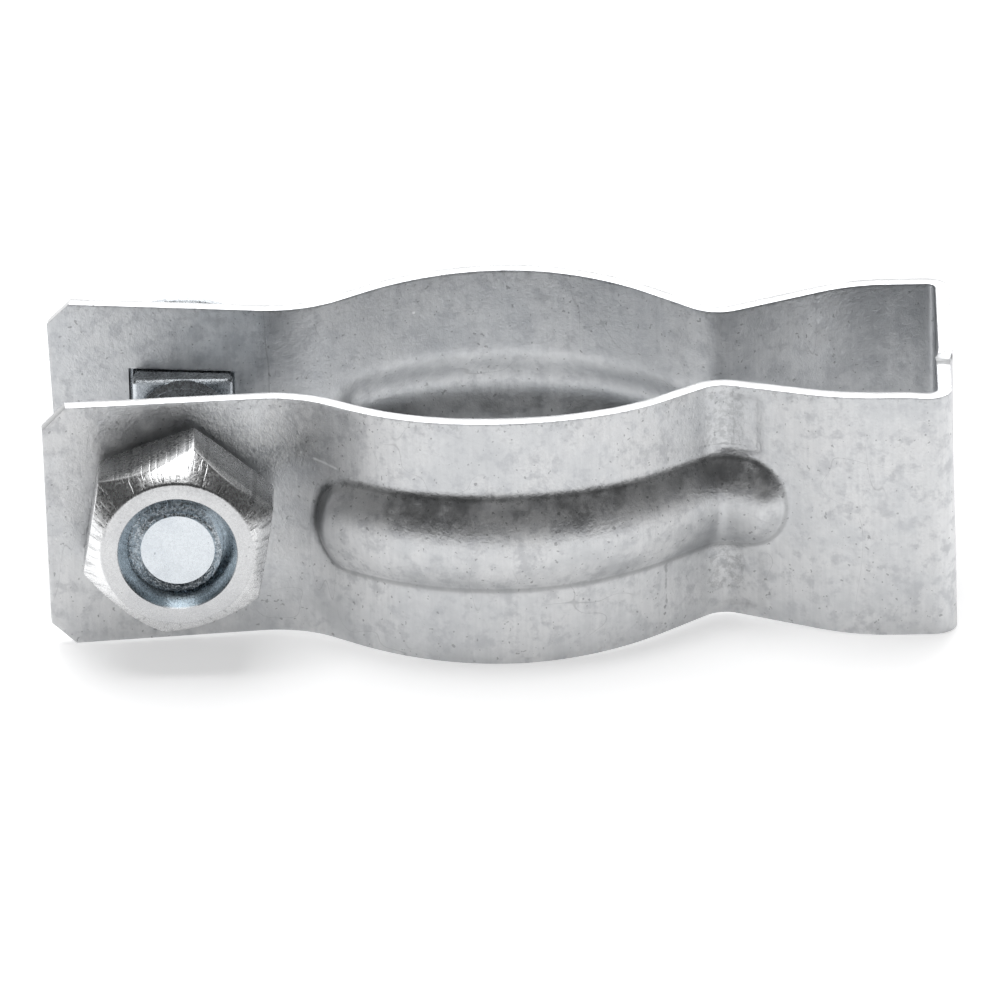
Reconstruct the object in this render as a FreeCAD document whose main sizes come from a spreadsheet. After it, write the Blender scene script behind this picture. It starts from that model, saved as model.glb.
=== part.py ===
import FreeCAD, Part
import math
import os
import re

import Sketcher

# A two-leg conduit strap: one folded strip of zinc-plated sheet steel, closed at its base,
# drawn together at the open end by a carriage bolt and a hex nut.
# Frame: the conduit runs along Z, the legs lie either side of the XZ plane, and the base
# plate is on the +X side. The strap stands on the edges of the strip, which lie on Z = 0.

doc = FreeCAD.newDocument("conduit_strap")
sheet = doc.addObject("Spreadsheet::Sheet", "Sizes")

SIZES = [
    # the strip
    ("strip_width", 16.3),
    ("strip_thickness", 0.88),
    ("tab_reach", 28.5),          # conduit axis to the open ends of the legs
    ("base_reach", 28.25),        # conduit axis to the outside of the base plate
    ("tab_corner", 1.5),          # cut corners of the tabs
    ("corner_radius", 0.6),       # inside radius of the two folds at the base
    # half gaps from the middle plane to the inner face of each leg
    ("tab_gap", 7.66),            # at the open ends
    ("seat_gap", 11.35),          # beside the conduit
    # bends, with their radii on the inner face where the leg wraps the conduit's side
    ("seat_radius", 15.0),
    ("shoulder_radius", 11.6),
    # and on the tight outer side where it bends the other way
    ("waist_radius", 6.5),
    ("crest_radius", 0.45),       # over the rib, where it passes the neck
    # slopes in degrees from the middle plane, and the straight stretches past the seat and
    # before the fold at the base
    ("tab_flare", 5.8),
    ("waist_slope", 34.8),
    ("neck_slope", 39.9),
    ("rise_slope", 22.6),
    ("neck_straight", 3.3),
    ("shoulder_straight", 2.59),
    # the stiffening rib pressed out of each leg
    ("rib_width", 6.3),
    ("rib_height", 1.3),
    ("rib_root", 0.1),            # how far the rib's own metal reaches into the sheet
    ("rib_lead", 2.1),            # towards the tabs, from where its crest leaves the seat
    ("rib_tail", 4.26),           # towards the base, from the middle of the neck
    ("rib_round", 1.2),           # over its long edges
    ("rib_start_round", 1.2),     # corners of its squarer end
    ("rib_finish_round", 2.6),    # corners of its rounded end
    ("rib_end_wall", 1.6),        # from the end of the rib to its hollow
    # holes
    ("base_hole", 6.9),           # for a quarter inch fixing screw
    ("bolt_inset", 8.55),         # from the open ends of the legs
    ("bolt_height", 8.6),
    ("bolt_hole_clearance", 0.35),
    ("neck_hole_clearance", 0.2),
    # carriage bolt, quarter inch
    ("bolt_diameter", 6.3),
    ("bolt_length", 21.8),        # under the head
    ("bolt_tip", 5.4),            # diameter of the end face
    ("bolt_tip_slope", 0.8),      # length of the lead-in behind the end face
    ("bolt_neck", 6.3),           # across the flats of the square neck
    ("bolt_neck_length", 4.4),
    ("head_diameter", 14.4),
    ("head_rim", 0.6),            # thickness of the head at its edge
    ("head_dome", 2.7),           # rise of the head above its rim
    ("head_seat_clearance", 0.05),
    # hex nut
    ("nut_flats", 11.0),
    ("nut_thickness", 5.56),
    ("nut_turned", 10.0),         # degrees that a corner stands from the top
    ("nut_washer_face", 10.0),
    ("nut_bevel", 30.0),          # degrees from the face
    ("nut_sink", 7.5),            # diameter at the mouth of the thread
    ("thread_clearance", 0.04),
    ("nut_seat_clearance", 0.05),
]
for row, (name, number) in enumerate(SIZES, start=1):
    sheet.set(f"A{row}", name)
    sheet.set(f"B{row}", str(number))
    sheet.setAlias(f"B{row}", name)
doc.recompute()


def bound(text):
    """The same formula with each size read from the sheet."""
    return re.sub(r"[a-z]+_[a-z_]+", lambda found: "Sizes." + found.group(0), text)


def value(text):
    """What the formula gives now."""
    return float(sheet.evalExpression(bound(text)))


# ---- drawing helpers -------------------------------------------------------------------

# Sketcher counts the points of a line or arc up from 1, and a sketch's axes down from -1
POINT = {name: number for number, name in enumerate(("start", "end", "centre"), start=1)}
AXIS = {name: -number for number, name in enumerate(("horizontal", "vertical"), start=1)}
ORIGIN = (AXIS["horizontal"], POINT["start"])
SAME = 1e-4  # lengths closer than this are the same


def new_body(label):
    """A body of its own for one piece."""
    body = doc.addObject("PartDesign::Body", label)
    body.Label = label
    return body


def angle_of(centre, point):
    return math.atan2(point.y - centre.y, point.x - centre.x)


class Drawing:
    """A sketch on one of a body's origin planes, raised by a formula if given. Its lines
    and constraints are gathered first and put in together, which is much quicker."""

    def __init__(self, body, name, plane, height=None):
        self.sketch = body.newObject("Sketcher::SketchObject", name)
        support = next(f for f in body.Origin.OriginFeatures if f.Role == plane)
        self.sketch.AttachmentSupport = (support, [""])
        self.sketch.MapMode = "FlatFace"
        if height:
            self.sketch.setExpression("AttachmentOffset.Base.z", bound(height))
        self.shapes = []
        self.constraints = []
        self.formulas = {}

    def constrain(self, kind, *where, by=None):
        """Adds a constraint, bound to a formula where it has a size."""
        if by is not None:
            self.formulas[len(self.constraints)] = bound(by)
            size = value(by)
            where = (*where, math.radians(size) if kind == "Angle" else size)
        self.constraints.append(Sketcher.Constraint(kind, *where))

    def place(self, geometry, point, across, up):
        """Fixes a point by two formulas."""
        self.constrain("DistanceX", *ORIGIN, geometry, point, by=across)
        self.constrain("DistanceY", *ORIGIN, geometry, point, by=up)

    def line(self, start, finish):
        """A straight line, with the names of its two ends."""
        self.shapes.append(Part.LineSegment(start, finish))
        return len(self.shapes) - 1, POINT["start"], POINT["end"]

    def arc(self, centre, radius, start, finish, turns_left):
        """An arc travelled from start to finish, with the names of its two ends."""
        circle = Part.Circle(centre, FreeCAD.Vector(0, 0, 1), radius)
        first, last = (start, finish) if turns_left else (finish, start)
        self.shapes.append(
            Part.ArcOfCircle(circle, angle_of(centre, first), angle_of(centre, last))
        )
        ends = (POINT["start"], POINT["end"]) if turns_left else (POINT["end"], POINT["start"])
        return len(self.shapes) - 1, *ends

    def circle(self, across, up, radius):
        """A whole circle, held by three formulas."""
        centre = FreeCAD.Vector(value(across), value(up), 0)
        self.shapes.append(Part.Circle(centre, FreeCAD.Vector(0, 0, 1), value(radius)))
        index = len(self.shapes) - 1
        self.place(index, POINT["centre"], across, up)
        self.constrain("Radius", index, by=radius)

    def outline(self, points):
        """A closed outline through points that are each given by two formulas."""
        corners = [FreeCAD.Vector(value(across), value(up), 0) for across, up in points]
        first = len(self.shapes)
        for number, (across, up) in enumerate(points):
            self.line(corners[number], corners[(number + 1) % len(points)])
            self.place(first + number, POINT["start"], across, up)
        for number in range(len(points)):
            follower = first + (number + 1) % len(points)
            self.constrain("Coincident", first + number, POINT["end"], follower, POINT["start"])

    def square(self, across, up, half):
        """A square about a point, with each side at half its width from it."""
        self.outline(
            [
                (f"{across} - ({half})", f"{up} - ({half})"),
                (f"{across} + ({half})", f"{up} - ({half})"),
                (f"{across} + ({half})", f"{up} + ({half})"),
                (f"{across} - ({half})", f"{up} + ({half})"),
            ]
        )

    def join(self, before, after, kind="Tangent"):
        """Joins the far end of one stretch to the near end of the next."""
        self.constrain(kind, before[0], before[2], after[0], after[1])

    def finish(self):
        """Puts everything into the sketch and hands it over."""
        self.sketch.addGeometry(self.shapes, False)
        self.sketch.addConstraint(self.constraints)
        for index, formula in self.formulas.items():
            degrees = " * 1 deg" if self.constraints[index].Type == "Angle" else ""
            self.sketch.setExpression(f"Constraints[{index}]", f"({formula}){degrees}")
        doc.recompute()
        if not self.sketch.FullyConstrained:
            raise RuntimeError(f"{self.sketch.Name} is not fully constrained")
        return self.sketch


def pad(body, sketch, name, length, reverse=False):
    """Material raised from a sketch."""
    feature = body.newObject("PartDesign::Pad", name)
    feature.Profile = sketch
    feature.setExpression("Length", bound(length))
    feature.Reversed = reverse
    doc.recompute()
    return feature


def cut(body, sketch, name, length=None, reverse=False):
    """Material taken away along a sketch's normal, all the way if no length is given."""
    before = body.Shape.Volume
    feature = body.newObject("PartDesign::Pocket", name)
    feature.Profile = sketch
    feature.Reversed = reverse
    if length:
        feature.setExpression("Length", bound(length))
    else:
        feature.Type = "ThroughAll"
    doc.recompute()
    if feature.Shape.Volume >= before:
        raise RuntimeError(f"{name} takes nothing away")
    return feature


def dress(body, kind, name, base, edges, size):
    """A fillet or chamfer along chosen edges of the feature below it."""
    feature = body.newObject(f"PartDesign::{kind}", name)
    feature.Base = (base, edges)
    feature.setExpression("Radius" if kind == "Fillet" else "Size", bound(size))
    doc.recompute()
    return feature


def edges_where(shape, test):
    """Names of the edges that pass a test."""
    return [f"Edge{n}" for n, edge in enumerate(shape.Edges, start=1) if test(edge)]


def close_to(first, second):
    return abs(first - second) < SAME


# ---- the line of one leg ---------------------------------------------------------------
# Seen from above, a leg runs from its tab to the base as straight stretches joined by
# bends: tab, waist, seat, neck, shoulder and fold. It is worked out with "out" measured
# away from the middle plane, then laid on its own side. An offset moves the whole line
# outwards, so the two faces of the sheet and of its rib are the same line twice.

NECK_RADIUS = "(crest_radius + rib_height + strip_thickness)"
LEVEL_START = "(base_reach - strip_thickness - corner_radius - shoulder_straight)"


def heading(degrees):
    """A unit vector along a stretch that slopes outwards by an angle."""
    return FreeCAD.Vector(math.cos(math.radians(degrees)), math.sin(math.radians(degrees)), 0)


def outwards_of(degrees):
    """The unit vector square to that stretch, away from the conduit."""
    return FreeCAD.Vector(-math.sin(math.radians(degrees)), math.cos(math.radians(degrees)), 0)


def meeting(first, first_slope, second, second_slope):
    """Where two straight lines cross, each given by a point and its slope."""
    apart = second - first
    square = outwards_of(second_slope)
    return first + heading(first_slope) * (apart.dot(square) / heading(first_slope).dot(square))


class Leg:
    """The centres, radii and slopes of one leg."""

    def __init__(self, name):
        self.name = name
        self.side = 1 if name == "back" else -1
        self.sign = "" if name == "back" else "-"
        self.radii = {
            "waist": "waist_radius + strip_thickness",
            "seat": "seat_radius",
            "neck": NECK_RADIUS,
            "shoulder": "shoulder_radius",
            "fold": "corner_radius",
        }
        self.wraps = {"waist": False, "seat": True, "neck": False, "shoulder": True, "fold": True}
        self.tab_slope = -value("tab_flare")
        self.waist_slope = value("waist_slope")
        self.neck_slope = -value("neck_slope")
        self.rise_slope = value("rise_slope")
        self.tab_end = FreeCAD.Vector(-value("tab_reach"), value("tab_gap"), 0)
        self.centres = self.find_centres()

    def find_centres(self):
        inner = {bend: value(text) for bend, text in self.radii.items()}
        seat = FreeCAD.Vector(0, value("seat_gap") - inner["seat"], 0)
        waist = meeting(
            self.tab_end + outwards_of(self.tab_slope) * inner["waist"],
            self.tab_slope,
            seat + outwards_of(self.waist_slope) * (inner["seat"] + inner["waist"]),
            self.waist_slope,
        )
        neck = (
            seat
            + outwards_of(self.neck_slope) * (inner["seat"] + inner["neck"])
            + heading(self.neck_slope) * value("neck_straight")
        )
        shoulder = meeting(
            FreeCAD.Vector(value(LEVEL_START), 0, 0),
            90,
            neck - outwards_of(self.rise_slope) * (inner["neck"] + inner["shoulder"]),
            self.rise_slope,
        )
        fold = shoulder + FreeCAD.Vector(
            value("shoulder_straight"), inner["shoulder"] - inner["fold"], 0
        )
        return {"waist": waist, "seat": seat, "neck": neck, "shoulder": shoulder, "fold": fold}

    def radius(self, bend, offset):
        """The formula of a bend's radius on a face that lies further out."""
        return f"{self.radii[bend]} {'+' if self.wraps[bend] else '-'} ({offset})"

    def touch(self, bend, slope, offset):
        """Where a stretch of a given slope touches a bend, with out as Y."""
        away = value(self.radius(bend, offset)) * (1 if self.wraps[bend] else -1)
        return self.centres[bend] + outwards_of(slope) * away

    def laid(self, point):
        """A point moved to the leg's own side."""
        return FreeCAD.Vector(point.x, self.side * point.y, 0)


def draw_bend(drawing, leg, bend, offset, start_slope, finish_slope):
    """One bend, travelled towards the base."""
    arc = drawing.arc(
        leg.laid(leg.centres[bend]),
        value(leg.radius(bend, offset)),
        leg.laid(leg.touch(bend, start_slope, offset)),
        leg.laid(leg.touch(bend, finish_slope, offset)),
        leg.wraps[bend] == (leg.side < 0),
    )
    drawing.constrain("Radius", arc[0], by=leg.radius(bend, offset))
    if bend == "seat":
        up = f"{leg.sign}(seat_gap - seat_radius)"
        drawing.constrain("PointOnObject", arc[0], POINT["centre"], AXIS["vertical"])
        drawing.constrain("DistanceY", *ORIGIN, arc[0], POINT["centre"], by=up)
    return arc


def draw_stretch(drawing, leg, start, finish, slope=None):
    """One straight stretch, travelled towards the base and held at its slope."""
    line = drawing.line(leg.laid(start), leg.laid(finish))
    if slope:
        drawing.constrain("Angle", line[0], by=f"{leg.sign}({slope})")
    return line


def draw_ribbed_part(drawing, leg, offset, start, finish):
    """The part of a leg that the rib follows, between two given points."""
    stretches = [
        draw_stretch(drawing, leg, start, leg.touch("seat", leg.waist_slope, offset),
                     "waist_slope"),
        draw_bend(drawing, leg, "seat", offset, leg.waist_slope, leg.neck_slope),
        draw_stretch(drawing, leg, leg.touch("seat", leg.neck_slope, offset),
                     leg.touch("neck", leg.neck_slope, offset), "-neck_slope"),
        draw_bend(drawing, leg, "neck", offset, leg.neck_slope, leg.rise_slope),
        draw_stretch(drawing, leg, leg.touch("neck", leg.rise_slope, offset), finish,
                     "rise_slope"),
    ]
    drawing.constrain("Distance", stretches[2][0], by="neck_straight")
    for before, after in zip(stretches, stretches[1:]):
        drawing.join(before, after)
    return stretches


# ---- strap -----------------------------------------------------------------------------

front = Leg("front")
back = Leg("back")
strap = new_body("strap")
outline = Drawing(strap, "StripOutline", "XY_Plane")


def draw_leg(drawing, leg, offset):
    """One face of a leg, from its tab to the fold at the base."""
    tab_end = leg.tab_end + outwards_of(leg.tab_slope) * value(offset)
    fold_across = leg.centres["fold"].x
    stretches = [
        draw_stretch(drawing, leg, tab_end, leg.touch("waist", leg.tab_slope, offset), "-tab_flare"),
        draw_bend(drawing, leg, "waist", offset, leg.tab_slope, leg.waist_slope),
    ]
    stretches += draw_ribbed_part(
        drawing,
        leg,
        offset,
        leg.touch("waist", leg.waist_slope, offset),
        leg.touch("shoulder", leg.rise_slope, offset),
    )
    level = leg.touch("shoulder", 0, offset)
    stretches += [
        draw_bend(drawing, leg, "shoulder", offset, leg.rise_slope, 0),
        draw_stretch(drawing, leg, level, FreeCAD.Vector(fold_across, level.y, 0)),
        draw_bend(drawing, leg, "fold", offset, 0, -90),
    ]
    joints = list(zip(stretches, stretches[1:]))
    for before, after in joints[:2] + joints[-3:]:
        drawing.join(before, after)
    shoulder_line = stretches[-2]
    drawing.constrain("Horizontal", shoulder_line[0])
    drawing.constrain("DistanceX", *ORIGIN, shoulder_line[0], POINT["start"], by=LEVEL_START)
    return stretches


def draw_face(drawing, offset):
    """One face of the whole strip: the lines of its two tabs."""
    front_leg = draw_leg(drawing, front, offset)
    back_leg = draw_leg(drawing, back, offset)
    front_fold, back_fold = front_leg[-1], back_leg[-1]
    place = f"base_reach - strip_thickness + ({offset})"
    base = drawing.line(
        FreeCAD.Vector(value(place), front.laid(front.centres["fold"]).y, 0),
        FreeCAD.Vector(value(place), back.laid(back.centres["fold"]).y, 0),
    )
    drawing.constrain("Tangent", front_fold[0], front_fold[2], base[0], base[1])
    drawing.constrain("Tangent", back_fold[0], back_fold[2], base[0], base[2])
    drawing.constrain("Vertical", base[0])
    drawing.constrain("DistanceX", *ORIGIN, base[0], base[1], by=place)
    return front_leg[0], back_leg[0]


inner_tabs = draw_face(outline, "0")
outer_tabs = draw_face(outline, "strip_thickness")
for leg, inner, outer in zip((front, back), inner_tabs, outer_tabs):
    outer_end = leg.tab_end + outwards_of(leg.tab_slope) * value("strip_thickness")
    cap = outline.line(leg.laid(leg.tab_end), leg.laid(outer_end))
    outline.place(inner[0], inner[1], "-tab_reach", f"{leg.sign}tab_gap")
    outline.constrain("Coincident", cap[0], cap[1], inner[0], inner[1])
    outline.constrain("Coincident", cap[0], cap[2], outer[0], outer[1])
    outline.constrain("Perpendicular", cap[0], inner[0])
    outline.constrain("Distance", cap[0], by="strip_thickness")
strip = pad(strap, outline.finish(), "Strip", "strip_width")

tab_edges = edges_where(
    strap.Shape,
    lambda edge: edge.BoundBox.XMax < -value("tab_reach - strip_thickness")
    and close_to(edge.BoundBox.ZLength, 0)
    and close_to(edge.Length, value("strip_thickness")),
)
dress(strap, "Chamfer", "TabCorners", strip, tab_edges, "tab_corner")

base_hole = Drawing(strap, "BaseHolePlan", "YZ_Plane")
base_hole.circle("0", "strip_width / 2", "base_hole / 2")
cut(strap, base_hole.finish(), "BaseHole", reverse=True)

BOLT_PLACE = "(bolt_inset - tab_reach)"
bolt_hole = Drawing(strap, "BoltHolePlan", "XZ_Plane")
bolt_hole.circle(BOLT_PLACE, "bolt_height", "bolt_diameter / 2 + bolt_hole_clearance")
cut(strap, bolt_hole.finish(), "BoltHole", reverse=True)

neck_hole = Drawing(strap, "NeckHolePlan", "XZ_Plane")
neck_hole.square(BOLT_PLACE, "bolt_height", "bolt_neck / 2 + neck_hole_clearance")
cut(strap, neck_hole.finish(), "NeckHole")


RIB_BOTTOM = "(strip_width - rib_width) / 2"
HOLLOW_BOTTOM = f"{RIB_BOTTOM} + strip_thickness"
RIB_START = "((seat_radius + strip_thickness + rib_height) * sin(waist_slope * 1 deg) + rib_lead)"
RIB_FINISH = (
    f"((seat_radius + {NECK_RADIUS}) * sin(neck_slope * 1 deg)"
    " + neck_straight * cos(neck_slope * 1 deg) + rib_tail)"
)


def draw_rib(name, leg, inner, outer, start, finish, height):
    """The plan of a leg's rib, or of its hollow, between two faces of the leg, and the
    line of the outer one."""
    drawing = Drawing(strap, name, "XY_Plane", height)
    faces = []
    for offset in (inner, outer):
        begin = meeting(
            leg.touch("seat", leg.waist_slope, offset), leg.waist_slope,
            FreeCAD.Vector(-value(start), 0, 0), 90,
        )
        end = meeting(
            leg.touch("neck", leg.rise_slope, offset), leg.rise_slope,
            FreeCAD.Vector(value(finish), 0, 0), 90,
        )
        stretches = draw_ribbed_part(drawing, leg, offset, begin, end)
        first, last = stretches[0], stretches[-1]
        drawing.constrain("DistanceX", *ORIGIN, first[0], first[1], by=f"-({start})")
        drawing.constrain("DistanceX", *ORIGIN, last[0], last[2], by=finish)
        faces.append((stretches, begin, end))
    (inner_line, inner_begin, inner_end), (outer_line, outer_begin, outer_end) = faces
    first_cap = drawing.line(leg.laid(inner_begin), leg.laid(outer_begin))
    last_cap = drawing.line(leg.laid(inner_end), leg.laid(outer_end))
    for line, stretch in ((inner_line, 1), (outer_line, 2)):
        drawing.constrain("Coincident", first_cap[0], first_cap[stretch], *line[0][:2])
        drawing.constrain("Coincident", last_cap[0], last_cap[stretch], line[-1][0], line[-1][2])
    plan = drawing.finish()
    outer_face = Part.Compound([plan.Geometry[stretch[0]].toShape() for stretch in outer_line])
    return plan, outer_face


def flattened(point):
    return Part.Vertex(point.x, point.y, 0)


def edge_points(edge):
    first, last = edge.ParameterRange
    return [edge.valueAt(first), edge.valueAt((first + last) / 2), edge.valueAt(last)]


def is_rib_corner(edge):
    """Is this one of the edges that stand square to the leg at the rib's ends?"""
    start, finish = edge_points(edge)[::2]
    across = (start.x + finish.x) / 2
    level = close_to(start.z, finish.z) and close_to(start.x, finish.x)
    at_end = close_to(across, -value(RIB_START)) or close_to(across, value(RIB_FINISH))
    return level and at_end


def is_on_crest(edge, crest):
    """Is this part of the rib's outline at its crest, and no seam across it?"""
    on_line = all(crest.distToShape(flattened(point))[0] < SAME for point in edge_points(edge))
    return on_line and edge.BoundBox.ZLength < value("rib_width") - SAME


for leg in (front, back):
    title = leg.name.capitalize()
    plan, crest = draw_rib(f"{title}RibPlan", leg, "strip_thickness - rib_root",
                           "strip_thickness + rib_height", RIB_START, RIB_FINISH, RIB_BOTTOM)
    rib = pad(strap, plan, f"{title}Rib", "rib_width")
    for end, place in (("start", f"-{RIB_START}"), ("finish", RIB_FINISH)):
        corners = edges_where(
            rib.Shape,
            lambda edge: is_rib_corner(edge)
            and edge.BoundBox.YMax * leg.side > 0
            and close_to(edge_points(edge)[0].x, value(place)),
        )
        rib = dress(strap, "Fillet", f"{title}Rib{end.capitalize()}", rib, corners,
                    f"rib_{end}_round")
    outline_edges = edges_where(rib.Shape, lambda edge: is_on_crest(edge, crest))
    dress(strap, "Fillet", f"{title}RibRound", rib, outline_edges, "rib_round")
    hollow, _ = draw_rib(f"{title}HollowPlan", leg, "-strip_thickness", "rib_height",
                         f"{RIB_START} - rib_end_wall", f"{RIB_FINISH} - rib_end_wall",
                         HOLLOW_BOTTOM)
    cut(strap, hollow, f"{title}Hollow", "rib_width - 2 * strip_thickness", reverse=True)


# ---- carriage bolt and nut -------------------------------------------------------------
# Both are square to the middle plane. The tabs flare, so the nut bears on the front tab at
# its edge nearest the open end, and the head's underside bears on the back tab likewise.

def tab_face(nearer):
    """Half gap to a tab's outer face, at a distance from the bolt towards the open end."""
    return (
        f"(tab_gap + strip_thickness / cos(tab_flare * 1 deg)"
        f" - (bolt_inset - {nearer}) * tan(tab_flare * 1 deg))"
    )


NUT_SEAT = f"({tab_face('nut_washer_face / 2')} + nut_seat_clearance)"
HEAD_SEAT = f"({tab_face('bolt_inset')} + head_seat_clearance)"


def turn(body, sketch, name, kind="Revolution"):
    """A full turn of a sketch about the body's own Y axis, to add or to take away."""
    before = body.Shape.Volume if body.Tip else 0
    feature = body.newObject(f"PartDesign::{kind}", name)
    feature.Profile = sketch
    feature.ReferenceAxis = (sketch, ["V_Axis"])
    feature.Angle = 360
    doc.recompute()
    if kind == "Groove" and feature.Shape.Volume >= before:
        raise RuntimeError(f"{name} takes nothing away")
    return feature


def seat_on_bolt_axis(body, seat):
    """Moves a body from its own axis to the bolt's, with its Y = 0 face on its seat."""
    body.setExpression("Placement.Base.x", bound(BOLT_PLACE))
    body.setExpression("Placement.Base.y", bound(seat))
    body.setExpression("Placement.Base.z", bound("bolt_height"))
    doc.recompute()


# the bolt's own origin is under its head, and its shank runs towards -Y
bolt = new_body("carriage_bolt")
profile = Drawing(bolt, "BoltProfile", "XY_Plane")
dome_radius = "((head_diameter / 2) ^ 2 + head_dome ^ 2) / (2 * head_dome)"
rim_point = FreeCAD.Vector(value("head_diameter / 2"), value("head_rim"), 0)
dome_top = FreeCAD.Vector(0, value("head_rim + head_dome"), 0)
dome_centre = FreeCAD.Vector(0, value(f"head_rim + head_dome - {dome_radius}"), 0)
corners = [
    ("0", "-bolt_length"),
    ("bolt_tip / 2", "-bolt_length"),
    ("bolt_diameter / 2", "-bolt_length + bolt_tip_slope"),
    ("bolt_diameter / 2", "0"),
    ("head_diameter / 2", "0"),
    ("head_diameter / 2", "head_rim"),
]
spots = [FreeCAD.Vector(value(across), value(up), 0) for across, up in corners]
sides = [profile.line(start, finish) for start, finish in zip(spots, spots[1:])]
for (across, up), side in zip(corners, sides):
    profile.place(side[0], side[1], across, up)
for before, after in zip(sides, sides[1:]):
    profile.join(before, after, "Coincident")
profile.place(sides[-1][0], sides[-1][2], *corners[-1])
dome = profile.arc(dome_centre, value(dome_radius), rim_point, dome_top, True)
profile.join(sides[-1], dome, "Coincident")
profile.constrain("PointOnObject", dome[0], POINT["centre"], AXIS["vertical"])
axis = profile.line(dome_top, spots[0])
profile.join(dome, axis, "Coincident")
profile.join(axis, sides[0], "Coincident")
profile.constrain("DistanceY", *ORIGIN, axis[0], axis[1], by="head_rim + head_dome")
profile.constrain("Vertical", axis[0])
turn(bolt, profile.finish(), "Shank")
neck_plan = Drawing(bolt, "NeckPlan", "XZ_Plane")
neck_plan.square("0", "0", "bolt_neck / 2")
pad(bolt, neck_plan.finish(), "SquareNeck", "bolt_neck_length")
seat_on_bolt_axis(bolt, HEAD_SEAT)

# the nut's own origin is on its seat face, and it stands out towards -Y
nut = new_body("hex_nut")
hexagon = Drawing(nut, "HexPlan", "XZ_Plane")
hexagon.outline(
    [
        (
            f"nut_flats / sqrt(3) * cos({90 + 60 * number} deg - nut_turned * 1 deg)",
            f"nut_flats / sqrt(3) * sin({90 + 60 * number} deg - nut_turned * 1 deg)",
        )
        for number in range(6)
    ]
)
pad(nut, hexagon.finish(), "Hexagon", "nut_thickness")
bore = Drawing(nut, "BorePlan", "XZ_Plane")
bore.circle("0", "0", "bolt_diameter / 2 + thread_clearance")
cut(nut, bore.finish(), "Bore", "nut_thickness", reverse=True)
past_corner = "nut_flats"  # well outside the hexagon
for face, sign, height in (("Seat", "-", "0"), ("Outer", "+", "-nut_thickness")):
    bevel = Drawing(nut, f"{face}BevelProfile", "XY_Plane")
    bevel.outline(
        [
            ("nut_washer_face / 2", height),
            (past_corner, height),
            (
                past_corner,
                f"{height} {sign} ({past_corner} - nut_washer_face / 2) * tan(nut_bevel * 1 deg)",
            ),
        ]
    )
    turn(nut, bevel.finish(), f"{face}Bevel", "Groove")
    sink = Drawing(nut, f"{face}SinkProfile", "XY_Plane")
    sink.outline(
        [
            ("0", height),
            ("nut_sink / 2", height),
            ("0", f"{height} {sign} nut_sink / 2"),
        ]
    )
    turn(nut, sink.finish(), f"{face}Sink", "Groove")
seat_on_bolt_axis(nut, f"-{NUT_SEAT}")


# ---- check and write -------------------------------------------------------------------

pieces = [strap, bolt, nut]
doc.recompute()
for item in doc.Objects:
    if {"Invalid", "Error"} & set(item.State):
        raise RuntimeError(f"{item.Name} failed: {item.State}")
os.makedirs("parts", exist_ok=True)
for piece in pieces:
    if piece.Shape.isNull() or not piece.Shape.isValid():
        raise RuntimeError(f"{piece.Label} has no valid shape")
    piece.Shape.exportStep(f"parts/{piece.Label}.step")
    box = piece.Shape.BoundBox
    print(f"{piece.Label}: {len(piece.Shape.Solids)} solid, {piece.Shape.Volume:.1f} mm3,",
          f"X {box.XMin:.2f} to {box.XMax:.2f}, Y {box.YMin:.2f} to {box.YMax:.2f},",
          f"Z {box.ZMin:.2f} to {box.ZMax:.2f}")
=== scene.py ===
import math

import bpy
from mathutils import Matrix, Vector, noise


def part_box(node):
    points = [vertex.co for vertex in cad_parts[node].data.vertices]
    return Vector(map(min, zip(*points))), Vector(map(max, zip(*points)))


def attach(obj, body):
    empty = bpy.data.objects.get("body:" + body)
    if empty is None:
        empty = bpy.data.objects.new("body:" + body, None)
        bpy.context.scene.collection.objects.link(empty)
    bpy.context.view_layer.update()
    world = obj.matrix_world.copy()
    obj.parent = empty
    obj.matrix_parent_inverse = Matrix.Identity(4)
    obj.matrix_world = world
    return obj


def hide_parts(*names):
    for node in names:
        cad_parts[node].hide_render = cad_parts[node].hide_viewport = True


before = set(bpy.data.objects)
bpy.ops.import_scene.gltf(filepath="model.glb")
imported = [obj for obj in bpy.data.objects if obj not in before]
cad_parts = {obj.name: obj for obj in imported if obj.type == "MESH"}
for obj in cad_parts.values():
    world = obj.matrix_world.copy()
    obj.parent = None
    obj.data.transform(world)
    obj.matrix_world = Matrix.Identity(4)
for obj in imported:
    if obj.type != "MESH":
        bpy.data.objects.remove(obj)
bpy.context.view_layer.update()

# Two-leg conduit strap: a folded zinc sheet, a carriage bolt and a hex nut.
mm = 0.001
boltAxisX = (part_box("hex_nut")[0][0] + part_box("hex_nut")[1][0]) / 2
boltAxisZ = (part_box("hex_nut")[0][2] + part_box("hex_nut")[1][2]) / 2
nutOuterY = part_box("hex_nut")[0][1]
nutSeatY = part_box("hex_nut")[1][1]
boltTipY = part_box("carriage_bolt")[0][1]
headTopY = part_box("carriage_bolt")[1][1]
near = dict(plane=0.0001 * mm, thread=0.0005 * mm, turned=0.001 * mm)  # closer points are one


# Helpers

def clearSelection():
    if bpy.context.object and bpy.context.object.mode != "OBJECT":
        bpy.ops.object.mode_set(mode="OBJECT")
    bpy.ops.object.select_all(action="DESELECT")


def pick(obj):
    clearSelection()
    obj.select_set(True)
    bpy.context.view_layer.objects.active = obj


def newest(name):
    made = bpy.context.object
    made.name = name
    made.data.name = name
    return made


def profileLine(name, points):  # an open line of (radius, height) points beside the Z axis
    mesh = bpy.data.meshes.new(name)
    mesh.from_pydata([(radius, 0, height) for radius, height in points],
                     [(i, i + 1) for i in range(len(points) - 1)], ())
    made = bpy.data.objects.new(name, mesh)
    bpy.context.collection.objects.link(made)
    pick(made)
    return made


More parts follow.
